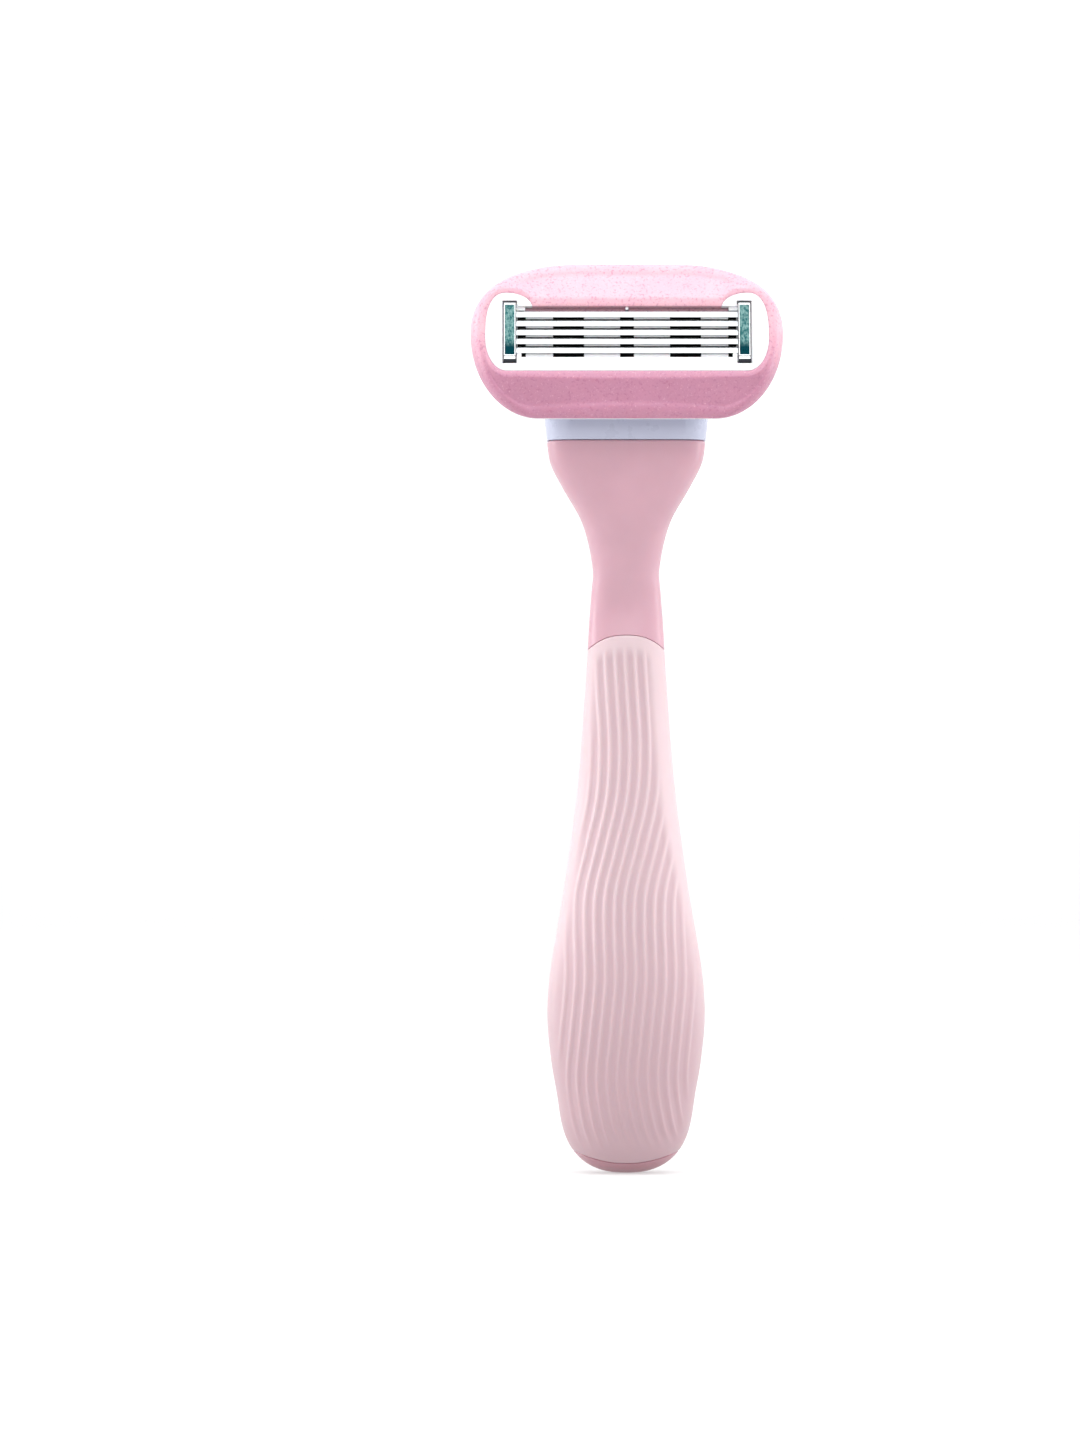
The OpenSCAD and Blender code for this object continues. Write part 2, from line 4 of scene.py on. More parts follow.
import bmesh
import bpy
import numpy as np
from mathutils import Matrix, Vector

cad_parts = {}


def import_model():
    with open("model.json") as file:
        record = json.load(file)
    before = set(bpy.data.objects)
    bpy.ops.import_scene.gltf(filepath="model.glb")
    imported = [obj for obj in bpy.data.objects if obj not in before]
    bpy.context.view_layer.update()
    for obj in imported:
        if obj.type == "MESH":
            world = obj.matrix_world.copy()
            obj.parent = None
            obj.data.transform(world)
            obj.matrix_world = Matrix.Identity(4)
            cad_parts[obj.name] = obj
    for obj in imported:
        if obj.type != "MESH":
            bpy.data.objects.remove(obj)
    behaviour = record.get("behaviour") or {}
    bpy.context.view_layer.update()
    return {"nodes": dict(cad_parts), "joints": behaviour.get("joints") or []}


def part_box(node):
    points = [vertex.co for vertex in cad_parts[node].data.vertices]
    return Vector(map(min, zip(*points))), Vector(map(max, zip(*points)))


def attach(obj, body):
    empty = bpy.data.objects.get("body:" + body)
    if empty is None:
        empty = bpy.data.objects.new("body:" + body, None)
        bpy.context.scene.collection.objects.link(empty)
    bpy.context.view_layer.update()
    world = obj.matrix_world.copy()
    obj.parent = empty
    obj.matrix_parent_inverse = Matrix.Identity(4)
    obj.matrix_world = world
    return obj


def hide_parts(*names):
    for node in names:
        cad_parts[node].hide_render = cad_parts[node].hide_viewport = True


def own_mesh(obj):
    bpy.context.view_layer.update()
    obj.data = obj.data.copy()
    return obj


# The looks of the cartridge razor. Lengths are in millimetres until a mesh is made of them.
# X is the width, the blades face -Y and the handle stands along +Z.
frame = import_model()
nodes = frame["nodes"]
scene = bpy.context.scene
MM = 0.001


def low(node):
    return np.array(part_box(node)[0]) / MM


def high(node):
    return np.array(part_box(node)[1]) / MM


# ---------------------------------------------------------------- the handle's surface
TOP = high("handle_front_shell")[2]
PART_Y = high("handle_front_shell")[1]
BELLY = high("grip_sleeve")[0]
HEAD = high("handle_front_shell")[0]
WAIST = 5.35
WALL = 1.3
GRIP_T = 1.2
GRIP_LOW, GRIP_LOW_ARC = 1.8, 1.8
GRIP_HIGH, GRIP_HIGH_ARC = TOP - 31, -2.3
ARC_FADE = 12
TIP_LEN, TIP_POWER, TIP_FLAT = 12, 2.45, 0.06
FLOOR_Z = 5
CORE_SHARE, CORE_BOW = 0.7, 0.3

# Stations up the handle: half width, depth of the front and back halves from the plane where
# the shells meet, and the power of the superellipse that rounds each half
HALF_WIDTHS = [
    (0, 10.6), (10, 10.75), (18, 12), (25, BELLY), (32, 12.15), (46, 9.85), (62, 7.75),
    (78, 6.5), (TOP - 28.8, 5.9), (TOP - 24.3, 5.56), (TOP - 20.3, WAIST),
    (TOP - 13.1, 7), (TOP - 7.4, 10.15), (TOP - 3.5, 12.1), (TOP, HEAD),
]
FRONT_DEPTHS = [
    (0, 8.5), (12, 8.9), (26, 9.4), (46, 8.2), (62, 6.5), (TOP - 32, 4), (TOP - 26, 3.55),
    (TOP - 20, 4.8), (TOP - 13, 6.5), (TOP - 6, 7.5), (TOP, 7.8),
]
BACK_DEPTHS = [
    (0, 3.9), (12, 4.5), (30, 5.2), (60, 4.8), (TOP - 25, 3.9), (TOP - 12, 2.9), (TOP, 2.4),
]
POWERS = [(0, 2.4), (TOP - 37, 2.5), (TOP - 20, 2.8), (TOP - 10, 3.8), (TOP - 4, 5), (TOP, 5)]


def curve(stations, z):
    """Smooth curve through a list of stations, at heights z."""
    at, value = np.array(stations, float).T
    n = len(at) - 1
    slopes = np.array([
        (value[min(i + 1, n)] - value[max(i - 1, 0)]) / (at[min(i + 1, n)] - at[max(i - 1, 0)])
        for i in range(n + 1)
    ])
    i = np.clip(np.searchsorted(at, z) - 1, 0, n - 1)
    h = at[i + 1] - at[i]
    u = (z - at[i]) / h
    v = 1 - u
    return (
        value[i] * v * v * (1 + 2 * u) + slopes[i] * h * u * v * v
        + value[i + 1] * u * u * (1 + 2 * v) - slopes[i + 1] * h * u * u * v
    )


def signed_power(v, e):
    return np.sign(v) * np.abs(v) ** e


def smoothstep(a, b, v):
    t = np.clip((v - a) / (b - a), 0, 1)
    return t * t * (3 - 2 * t)


def tip(z):
    u = np.minimum(1, (z + TIP_FLAT) / (TIP_LEN + TIP_FLAT))
    return (1 - (1 - u) ** TIP_POWER) ** (1 / TIP_POWER)


def half_width(z):
    return curve(HALF_WIDTHS, z) * tip(z)


def depth(side, z):
    return curve(FRONT_DEPTHS if side < 0 else BACK_DEPTHS, z) * tip(z)


def section(side, a, z, inset):
    """X and Y of the half section at height z and angle a, side -1 for the front."""
    e = 2 / curve(POWERS, z)
    x = (half_width(z) - inset) * signed_power(np.sin(a), e)
    y = PART_Y + side * (depth(side, z) - inset) * signed_power(np.cos(a), e)
    return x, y


def warp(z):
    """How much higher a row runs at the sides than at the middle, after the grip's edges."""
    if z < GRIP_LOW:
        return GRIP_LOW_ARC * z / GRIP_LOW
    return (
        GRIP_LOW_ARC * max(0, 1 - (z - GRIP_LOW) / ARC_FADE)
        + GRIP_HIGH_ARC * max(0, 1 - abs(z - GRIP_HIGH) / ARC_FADE)
    )


# Trial points round a half section, and how far they crowd at its middle
TRIALS, TRIAL_CROWD = 1201, 1.6


def even_angles(side, z, count):
    """Angles that space count points evenly along the half section at height z."""
    t = np.linspace(-1, 1, TRIALS)
    a = np.sign(t) * np.abs(t) ** TRIAL_CROWD * math.pi / 2
    x, y = section(side, a, np.full_like(a, z), 0)
    run = np.concatenate([[0], np.cumsum(np.hypot(np.diff(x), np.diff(y)))])
    return np.interp(np.linspace(0, run[-1], count), run, a)


# The groove between the shells: how far it reaches either side of the seam, and its depth
SEAM_REACH, SEAM_CUT = 0.35, 0.12


def outer_row(side, z, inset, a):
    """Points round the outside, with a fine groove where the shells meet."""
    zz = z + warp(z) * np.sin(a) ** 2
    x, y = section(side, a, zz, inset(a, zz) if callable(inset) else inset)
    near = np.clip(1 - np.abs(y - PART_Y) / SEAM_REACH, 0, 1)
    return np.column_stack([x - np.sign(x) * SEAM_CUT * near ** 2, y, zz])


def inner_row(side, z, inset, open_, a):
    if open_:
        x, y = section(side, a, np.full_like(a, z), inset)
    else:
        x = CORE_SHARE * half_width(z) * np.sin(a)
        y = PART_Y - CORE_BOW * np.cos(a)
    return np.column_stack([x, y, np.full_like(a, z)])


# ---------------------------------------------------------------- mesh helpers
def mesh_object(name, points, faces, sharp=40):
    """A smooth shaded object from points in millimetres, with its normals outward."""
    mesh = bpy.data.meshes.new(name)
    mesh.from_pydata((np.asarray(points) * MM).tolist(), [], faces)
    bm = bmesh.new()
    bm.from_mesh(mesh)
    bmesh.ops.recalc_face_normals(bm, faces=bm.faces)
    bm.to_mesh(mesh)
    bm.free()
    obj = bpy.data.objects.new(name, mesh)
    scene.collection.objects.link(obj)
    smooth(obj, sharp)
    return obj


def smooth(obj, sharp):
    obj.data.polygons.foreach_set("use_smooth", [True] * len(obj.data.polygons))
    obj.data.set_sharp_from_angle(angle=math.radians(sharp))


def ring_faces(rows, m, loop=False):
    """Quads between rings of m points, joined up into a loop or not."""
    faces = []
    for r in range(rows if loop else rows - 1):
        a, b = r * m, (r + 1) % rows * m
        faces += [(a + i, a + (i + 1) % m, b + (i + 1) % m, b + i) for i in range(m)]
    return faces


def cap_faces(base, m):
    """Closes an end whose ring runs out along one arc and back along another."""
    return [
        (base + i, base + i + 1, base + m - 2 - i, base + m - 1 - i)
        for i in range(m // 2 - 1)
    ]


def apply_modifiers(obj):
    shown = bpy.context.evaluated_depsgraph_get()
    done = bpy.data.meshes.new_from_object(obj.evaluated_get(shown))
    obj.modifiers.clear()
    obj.data = done


# Points round a half shell, and the lowest height that their spacing is taken from
SHELL_POINTS, SPACING_LOW = 97, 0.3


def half_shell(name, side, rows):
    """Lofts rows of [height, outer inset, inner height, inner inset, open]."""
    points = []
    for z, inset, inner_z, inner_inset, open_ in rows:
        out, back = (even_angles(side, max(at, SPACING_LOW), SHELL_POINTS) for at in (z, inner_z))
        points.append(outer_row(side, z, inset, out))
        points.append(inner_row(side, inner_z, inner_inset, open_, back[::-1]))
    m = 2 * SHELL_POINTS
    faces = ring_faces(len(rows), m) + cap_faces(0, m) + cap_faces((len(rows) - 1) * m, m)
    return mesh_object(name, np.vstack(points), faces)


def rounded_end(end, direction, radius, steps=4):
    """Heights and insets of a rounded edge that ends at a height, in rising steps."""
    out = []
    for t in np.linspace(0, math.pi / 2, steps):
        out.append((end - direction * radius * (1 - math.sin(t)), radius * (1 - math.cos(t))))
    return out


# ---------------------------------------------------------------- handle
HEAD_ROUND = 0.45
GRIP_ROUND = 0.22
# Step that keeps rows apart on one face where they share a height on the other
NUDGE = 0.12
# Depth of the shells' inside behind the grip, and heights of the rows in the solid tip
BACKING = GRIP_T + 1.4
TIP_ZS = [0, 0.05, 0.15, 0.3, 0.5, 0.75, 1.05, 1.35]
CORE_ZS = [2.3, 2.9, 3.5, 4.1]
# Rows behind the grip, and in the neck from just above it to just below the rounded rim
BODY_LOW, BODY_STOP, BODY_ROWS = 6, 1.2, 56
NECK_START, NECK_STOP, NECK_ROWS = 1, 0.2, 44


def shell_rows(side):
    """Rows of the hard shells. The front one is recessed for the grip."""
    recess = GRIP_T if side < 0 else 0
    rows = [(z, 0, z, BACKING, False) for z in TIP_ZS]
    if side < 0:
        rows += [
            (GRIP_LOW - GRIP_ROUND / 2, 0, GRIP_LOW - NUDGE, BACKING, False),
            (GRIP_LOW, GRIP_ROUND, GRIP_LOW, BACKING, False),
            (GRIP_LOW, GRIP_T, GRIP_LOW + NUDGE, BACKING, False),
        ]
    rows += [(z, recess, z, BACKING, False) for z in CORE_ZS]
    rows += [
        (FLOOR_Z - NUDGE, recess, FLOOR_Z, BACKING, False),
        (FLOOR_Z + NUDGE, recess, FLOOR_Z, BACKING, True),
    ]
    body = np.linspace(BODY_LOW, GRIP_HIGH - BODY_STOP, BODY_ROWS)
    rows += [(z, recess, z, BACKING, True) for z in body]
    if side < 0:
        rows += [
            (GRIP_HIGH, GRIP_T, GRIP_HIGH - NUDGE, BACKING, True),
            (GRIP_HIGH, GRIP_ROUND, GRIP_HIGH, BACKING, True),
            (GRIP_HIGH + GRIP_ROUND / 2, 0, GRIP_HIGH + NUDGE, BACKING, True),
        ]
    neck_low = GRIP_HIGH + NECK_START
    neck = np.linspace(neck_low, TOP - HEAD_ROUND - NECK_STOP, NECK_ROWS)
    rows += [(z, 0, z, WALL if z > neck_low else BACKING, True) for z in neck]
    rows += [(z, inset, z, WALL, True) for z, inset in rounded_end(TOP, 1, HEAD_ROUND)]
    return rows


def front_shell():
    return half_shell("hard_front_shell", -1, shell_rows(-1))


def rear_shell():
    obj = half_shell("hard_rear_shell", 1, shell_rows(1))
    cutter = slot_cutter()
    cut = obj.modifiers.new("slot", "BOOLEAN")
    cut.object = cutter
    cut.solver = "EXACT"
    apply_modifiers(obj)
    bpy.data.objects.remove(cutter)
    smooth(obj, 40)
    return obj


STEM_X, STEM_LOW, STEM_TALL = 2.2, TOP - 15.8, 4
SLOT_PLAY, SLOT_TRAVEL, SLOT_ROUND = 0.2, 2.7, 0.5
CUT_FROM, CUT_TO = PART_Y + 1, PART_Y + 7


def slot_cutter():
    """The slot that the release button's stem runs in, with round corners."""
    x = STEM_X + SLOT_PLAY
    z0, z1 = STEM_LOW - SLOT_PLAY, STEM_LOW + STEM_TALL + SLOT_TRAVEL
    outline = rounded_box(x, (z1 - z0) / 2, SLOT_ROUND, 5) + [0, (z0 + z1) / 2]
    m = len(outline)
    rings = [np.column_stack([outline[:, 0], np.full(m, y), outline[:, 1]])
             for y in (CUT_FROM, CUT_TO)]
    faces = ring_faces(2, m) + [tuple(range(m)), tuple(range(2 * m - 1, m - 1, -1))]
    return mesh_object("slot_cutter", np.vstack(rings), faces)


def rounded_box(half_x, half_y, radius, steps):
    """Outline of a box with round corners, about its middle."""
    out = []
    for sx, sy, start in ((1, 1, 0), (-1, 1, 90), (-1, -1, 180), (1, -1, 270)):
        for t in np.radians(np.linspace(start, start + 90, steps + 1)):
            out.append((sx * (half_x - radius) + radius * math.cos(t),
                        sy * (half_y - radius) + radius * math.sin(t)))
    return np.array(out)


# ---------------------------------------------------------------- soft grip
# The ridges run down the grip in a lazy wave: sideways place of the middle ridge by height.
# They fade out at the grip's ends and edges, and earlier on the upper right
RIDGE_PATH = [
    (0, 1.4), (4, -0.6), (8, -2.1), (15, -3.1), (23, -2.5), (31, -1.8), (40, -2),
    (45, -1.75), (52, -0.1), (60, 1.65), (68, 2.1), (76, 1.7), (88, 1),
]
RIDGE_PITCH = 1.59
RIDGE_DEPTH = 0.26
RIDGE_SHARP = 2.3
RIDGE_MARGIN = (0.7, 2.3)
RIDGE_LOW, RIDGE_HIGH, RIDGE_TOP_ARC = (3.6, 7.5), (GRIP_HIGH - 3.8, GRIP_HIGH - 1.4), 2.2
BARE_RIGHT, BARE_FROM = 1.2, (42, 60)
# Points round the grip, rows up it, and its rounded ends: distance in from the end, and the
# share of the rounding left there
GRIP_POINTS, GRIP_ROWS, GRIP_BODY = 221, 200, 0.5
GRIP_END = [(0, 1), (0.03, 0.45), (0.1, 0.12), (0.22, 0)]


def ridge_amount(x, z):
    """How high the ridged surface stands, from 0 in a groove to 1 on a crest."""
    phase = (x - curve(RIDGE_PATH, z)) / RIDGE_PITCH
    crest = (0.5 + 0.5 * np.cos(2 * math.pi * phase)) ** RIDGE_SHARP
    bare = np.where(x > 0, BARE_RIGHT, 0) * smoothstep(*BARE_FROM, z)
    margin = smoothstep(*RIDGE_MARGIN, half_width(z) - np.abs(x) - bare)
    top = z + RIDGE_TOP_ARC * (x / half_width(z)) ** 2
    ends = smoothstep(*RIDGE_LOW, z) * (1 - smoothstep(*RIDGE_HIGH, top))
    return 1 - (1 - crest) * margin * ends


def grip():
    body = np.linspace(GRIP_LOW + GRIP_BODY, GRIP_HIGH - GRIP_BODY, GRIP_ROWS)
    rows = [(GRIP_LOW + run, GRIP_ROUND * share) for run, share in GRIP_END]
    rows += [(z, 0) for z in body]
    rows += [(GRIP_HIGH - run, GRIP_ROUND * share) for run, share in GRIP_END[::-1]]
    points, heights = [], []
    for z, edge in rows:
        a = even_angles(-1, z, GRIP_POINTS)

        def inset(angle, zz):
            x, _ = section(-1, angle, zz, 0)
            return edge + RIDGE_DEPTH * (1 - ridge_amount(x, zz))

        outside = outer_row(-1, z, inset, a)
        inside = outer_row(-1, z, GRIP_T, a[::-1])
        points += [outside, inside]
        heights += [ridge_amount(outside[:, 0], outside[:, 2]), np.ones(GRIP_POINTS)]
    m = 2 * GRIP_POINTS
    faces = ring_faces(len(rows), m) + cap_faces(0, m) + cap_faces((len(rows) - 1) * m, m)
    obj = mesh_object("ribbed_grip", np.vstack(points), faces)
    crest = obj.data.attributes.new("crest", "FLOAT", "POINT")
    crest.data.foreach_set("value", np.concatenate(heights).astype(np.float32))
    return obj


# ---------------------------------------------------------------- cartridge
# The cartridge's own frame: x is the width, h runs up the shaving face, n comes out of it
REST_TILT = math.radians(15)
PIVOT_BELOW, PIVOT_BEHIND = 6.4, 7.5
pivot_joint = next(j for j in frame["joints"] if j["name"] == "cartridge_pivot")
PIVOT = np.array(pivot_joint["pos_m"]) / MM
UP_FACE = np.array([0, math.sin(REST_TILT), math.cos(REST_TILT)])
OUT_FACE = np.array([0, -math.cos(REST_TILT), math.sin(REST_TILT)])
FACE = PIVOT + PIVOT_BELOW * UP_FACE + PIVOT_BEHIND * OUT_FACE
RING_X = high("lube_ring")[0]
RING_H = 12.85
SIDE_H = 1.2
BODY_BACK, RING_BACK, RING_EDGE = -5, -3.5, -3
BODY_FRONT, RING_CREST, LIP_RUN = 0.2, 0.27, 1.3
RING_SLOPE, RING_ROUND = math.tan(math.radians(24)), 2.2
RING_SEAT, RING_TUCK, LIP_SHARE = 0.06, 0.3, 0.3
LIP_STEPS, SLOPE_STEPS, ROLL_STEPS = 5, 12, 12
CARRIER_INSET, CARRIER_ROUND = 0.45, 0.25


def on_face(x, h, n):
    """Points of the cartridge's own frame as points of the row's frame."""
    x, h, n = np.broadcast_arrays(x, h, n)
    flat = np.column_stack([x.ravel(), np.zeros(x.size), np.zeros(x.size)])
    return FACE * [0, 1, 1] + flat + np.outer(h.ravel(), UP_FACE) + np.outer(n.ravel(), OUT_FACE)


def superellipse(cx, cy, a, b, power, start, end, steps):
    t = np.radians(np.linspace(start, end, steps + 1))
    return np.column_stack([
        cx + a * signed_power(np.cos(t), 2 / power), cy + b * signed_power(np.sin(t), 2 / power)
    ])


def line(p, q, steps):
    return np.linspace(p, q, steps + 1)[:-1]


# The ring's opening: its straight edges, and the ears at its ends
OPEN_LOW, OPEN_HIGH, OPEN_TURN = -5.94, 4.83, 14.97
EAR_X, EAR_HALF, EAR_MIDDLE, EAR_BASE, EAR_POWER = 19.05, 3.36, -0.48, 0.1, 2.45
EAR_TOP, SHOULDER_X, SHOULDER_H, SHOULDER_ARC = 7, 4.1, 2.5, 82.5
# The ring's outer edge: where its corners start, and the power of the upper ones
CORNER_LOW, CORNER_HIGH, CORNER_POWER, CORNER_SPLIT = 14, 7, 2.25, 62


def opening_half(k):
    """Right half of the ring's opening, from the bottom middle round to the top middle."""
    t = np.radians(np.linspace(90 + SHOULDER_ARC / (5 * k), 90 + SHOULDER_ARC, 5 * k))
    shoulder = (EAR_X + SHOULDER_X * np.cos(t), EAR_TOP - SHOULDER_H + SHOULDER_H * np.sin(t))
    down, up = EAR_MIDDLE - OPEN_LOW, EAR_TOP - EAR_BASE
    return np.vstack([
        line((0, OPEN_LOW), (EAR_X, OPEN_LOW), 6 * k),
        superellipse(EAR_X, EAR_MIDDLE, EAR_HALF, down, 2, -90, 0, 9 * k - 1),
        superellipse(EAR_X, EAR_BASE, EAR_HALF, up, EAR_POWER, 3 / k, 90, 11 * k - 1),
        np.column_stack(shoulder),
        line((OPEN_TURN, OPEN_HIGH), (0, OPEN_HIGH), 7 * k),
        [(0, OPEN_HIGH)],
    ])


def outline_half(k):
    """Right half of the ring's outer edge, with as many points in each stretch."""
    low_corner = (CORNER_LOW, SIDE_H, RING_X - CORNER_LOW, RING_H + SIDE_H, 2)
    high_corner = (CORNER_HIGH, SIDE_H, RING_X - CORNER_HIGH, RING_H - SIDE_H, CORNER_POWER)
    top = np.linspace(CORNER_HIGH, 0, 3 * k + 2)[1:]
    return np.vstack([
        line((0, -RING_H), (CORNER_LOW, -RING_H), 6 * k),
        superellipse(*low_corner, -90, 0, 9 * k - 1),
        superellipse(*high_corner, 2 / k, CORNER_SPLIT, 16 * k - 1),
        superellipse(*high_corner, CORNER_SPLIT + 7 / k, 90, 4 * k - 1),
        np.column_stack([top, np.full_like(top, RING_H)]),
    ])


def whole(half):
    """Both halves of an outline that is drawn from the middle."""
    return np.vstack([half, (half[1:-1] * [-1, 1])[::-1]])


def ring_outlines(fineness=4):
    """The ring's opening and its outer edge, point by point."""
    return whole(opening_half(fineness)), whole(outline_half(fineness))


def ring_section(w):
    """Section of the ring at bar width w: a low lip, an even slope and a rolled edge."""
    run = min(LIP_RUN, w * LIP_SHARE)
    flat = max(run, w - RING_ROUND)
    t = np.linspace(0, 1, LIP_STEPS + 1)[1:]
    down = np.linspace(0, 1, SLOPE_STEPS + 1)[1:]
    turn = np.radians(np.linspace(0, 90, ROLL_STEPS + 1)[1:])
    shoulder = RING_CREST - (flat - run) * RING_SLOPE
    u = np.concatenate([
        [0, 0], run * t, run + (flat - run) * down, flat + (w - flat) * np.sin(turn),
        [w - RING_TUCK],
    ])
    n = np.concatenate([
        [RING_BACK, BODY_FRONT - RING_SEAT],
        BODY_FRONT + (RING_CREST - BODY_FRONT) * (1 - (1 - t) ** 2),
        RING_CREST - (flat - run) * RING_SLOPE * down,
        RING_EDGE + (shoulder - RING_EDGE) * np.cos(turn),
        [RING_BACK],
    ])
    return u, n


# The ledge's half length, its two face heights and its two depths
LEDGE_X, LEDGE_H, LEDGE_N = 16.05, (4.22, 5.2), (-1.38, -1.15)


def lube_ring():
    """The ring, with the ledge that shows below its upper lip in the blade window."""
    inner, outer = ring_outlines()
    points = []
    for p, q in zip(inner, outer):
        w = np.linalg.norm(q - p)
        u, n = ring_section(w)
        at = p + np.outer(u, (q - p) / w)
        points.append(on_face(at[:, 0], at[:, 1], n))
    rows, m = len(points), len(points[0])
    faces = ring_faces(rows, m, loop=True)
    corners = [(h, n) for h, n in zip(np.repeat(LEDGE_H, 2), (*LEDGE_N, *LEDGE_N[::-1]))]
    for x in (-LEDGE_X, LEDGE_X):
        points.append(on_face(x, *np.array(corners).T))
    a, b = rows * m, rows * m + 4
    faces += [(a + i, a + (i + 1) % 4, b + (i + 1) % 4, b + i) for i in range(4)]
    faces += [tuple(range(a, b)), tuple(range(b, b + 4))]
    return mesh_object("lubricating_ring", np.vstack(points), faces, 50)


def inset_outline(points, distance):
    """The outline moved in along its normals."""
    along = np.roll(points, -1, 0) - np.roll(points, 1, 0)
    normal = np.column_stack([along[:, 1], -along[:, 0]])
    return points - distance * normal / np.linalg.norm(normal, axis=1)[:, None]


def ring_carrier():
    """Backing frame of the ring, with rounded outer edges."""
    inner, outer = ring_outlines()
    r = CARRIER_ROUND
    turn = np.radians([0, 30, 60, 90])
    stations = [(r * (1 - math.sin(t)), RING_BACK - r * (1 - math.cos(t))) for t in turn]
    stations += [(r * (1 - math.sin(t)), BODY_BACK + r * (1 - math.cos(t))) for t in turn[::-1]]
    rings = [on_face(inner[:, 0], inner[:, 1], RING_BACK)]
    for inset, n in stations:
        at = inset_outline(outer, CARRIER_INSET + inset)
        rings.append(on_face(at[:, 0], at[:, 1], n))
    rings.append(on_face(inner[:, 0], inner[:, 1], BODY_BACK))
    m = len(inner)
    return mesh_object("carrier_frame", np.vstack(rings), ring_faces(len(rings), m, loop=True))


CLIP_LOW, CLIP_HIGH, CLIP_T = -4.58, 5.56, 0.3
CLIP_FRONT, CLIP_BACK, CLIP_TURN = 0.5, -5.3, 1.2
BEND_LOW, BEND_HIGH, BEND_BACK = 0.55, 0.4, 0.2
PANEL_LOW, PANEL_HIGH, PANEL_HALF, PANEL_DEPTH = -3.42, 4.95, 0.8, 0.07
GROOVE_AT, GROOVE_HALF, GROOVE_DEPTH = -3.64, 0.11, 0.12
# Where the painted shadow line along each long edge starts and is full, across half a clip
SHADOW_LINE_HALF = (0.88, 0.93)
PANEL_STEP, PANEL_SIDE, PATH_STEP = 0.07, 0.06, 0.04
# Places across half a clip, short of its edge, and how far its long edges are rounded off:
# distance in from the edge, and depth there
CLIP_ACROSS = [0, 0.3, 0.6, 0.73, 0.765, 0.8, 0.83, 0.87, 0.93, 0.965, 0.995]
CLIP_EDGE = ([0, 0.02, 0.05, 0.1], [0.07, 0.03, 0.008, 0])


def clip_path():
    """Face height and depth up a clip's outside, and the outward direction, leg to leg."""
    def bend(h, n, r, start, end):
        t = np.radians(np.linspace(start, end, 8))
        return np.column_stack([h + r * np.cos(t), n + r * np.sin(t), np.cos(t), np.sin(t)])

    front = np.arange(CLIP_LOW + BEND_LOW + PATH_STEP, CLIP_HIGH - BEND_HIGH, PATH_STEP)
    r = BEND_BACK
    return np.vstack([
        [CLIP_LOW + CLIP_TURN, CLIP_BACK, 0, -1],
        bend(CLIP_LOW + r, CLIP_BACK + r, r, 270, 180),
        bend(CLIP_LOW + BEND_LOW, CLIP_FRONT - BEND_LOW, BEND_LOW, 180, 90),
        np.column_stack([front, np.full_like(front, CLIP_FRONT), 0 * front, 0 * front + 1]),
        bend(CLIP_HIGH - BEND_HIGH, CLIP_FRONT - BEND_HIGH, BEND_HIGH, 90, 0),
        bend(CLIP_HIGH - r, CLIP_BACK + r, r, 0, -90),
        [CLIP_HIGH - CLIP_TURN, CLIP_BACK, 0, -1],
    ])


def metal_clip(side):
    """A strip bent over the blade ends: a sunk tinted panel in a bright rim, and a foot."""
    ends = low("clip_" + side)[0], high("clip_" + side)[0]
    middle, half = sum(ends) / 2, (ends[1] - ends[0]) / 2
    across = np.array([*CLIP_ACROSS, half])
    edge = np.interp(half - across, *CLIP_EDGE)
    x = np.concatenate([-across[:0:-1], across])
    edge = np.concatenate([edge[:0:-1], edge])
    points, tints, lines = [], [], []
    for h, n, out_h, out_n in clip_path():
        on_front = out_n > 0.99
        panel = on_front * smoothstep(PANEL_LOW, PANEL_LOW + PANEL_STEP, h)
        panel = panel * smoothstep(-PANEL_HIGH, -PANEL_HIGH + PANEL_STEP, -h)
        panel = panel * (1 - smoothstep(PANEL_HALF - PANEL_SIDE, PANEL_HALF, np.abs(x)))
        groove = on_front * GROOVE_DEPTH * max(0, 1 - abs(h - GROOVE_AT) / GROOVE_HALF)
        inset = np.concatenate([edge + PANEL_DEPTH * panel + groove, [CLIP_T, CLIP_T]])
        at = np.concatenate([x, [half, -half]]) + middle
        points.append(on_face(at, h - inset * out_h, n - inset * out_n))
        tints.append(np.concatenate([panel, [0, 0]]))
        # Painted shadow lines: dark along the long edges, in the groove, and all over the bends
        # and legs
        dark = np.maximum(smoothstep(*SHADOW_LINE_HALF, np.abs(x)), groove / GROOVE_DEPTH)
        lines.append(np.concatenate([dark if on_front else 0 * dark + 1, [1, 1]]))
    rows, m = len(points), len(points[0])
    faces = ring_faces(rows, m) + [tuple(range(m)), tuple(range((rows - 1) * m, rows * m))]
    obj = mesh_object("metal_clip_" + side, np.vstack(points), faces, 60)
    for name, values in (("tint", tints), ("line", lines)):
        attribute = obj.data.attributes.new(name, "FLOAT", "POINT")
        attribute.data.foreach_set("value", np.concatenate(values).astype(np.float32))
    return obj


# ---------------------------------------------------------------- materials
def srgb(r, g, b):
    """Linear colour of 8-bit display values."""
    v = np.array([r, g, b]) / 255
    return (*np.where(v <= 0.04045, v / 12.92, ((v + 0.055) / 1.055) ** 2.4), 1)


def feed(tree, socket, value):
    """Links another node's output to a socket, or sets the socket's own value."""
    if isinstance(value, bpy.types.NodeSocket):
        tree.links.new(value, socket)
    else:
        socket.default_value = value


